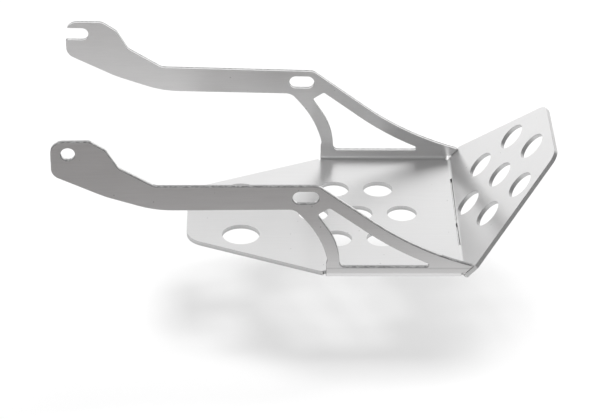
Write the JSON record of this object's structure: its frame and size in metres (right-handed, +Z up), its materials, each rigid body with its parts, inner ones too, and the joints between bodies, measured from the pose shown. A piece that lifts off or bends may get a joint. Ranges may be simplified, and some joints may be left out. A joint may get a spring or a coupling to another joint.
{
  "type": "motorcycle skid plate",
  "caption": "Folded aluminium sheet tray that guards the underside of a motorcycle's engine, with braced side walls and arms that reach back to the frame bolts.",
  "frame": {"origin": "on the plane of the underside, below the middle of the length and width of the bounding box", "axes": "+X to the front of the motorcycle, +Y to its left, +Z up; the base lies flat on Z = 0"},
  "size_m": [0.3286, 0.172, 0.1052],
  "materials": {
    "aluminium": "brushed faces, satin laser-cut edges"
  },
  "bodies": {
    "root": {"skid_plate": "aluminium"}
  },
  "joints": []
}
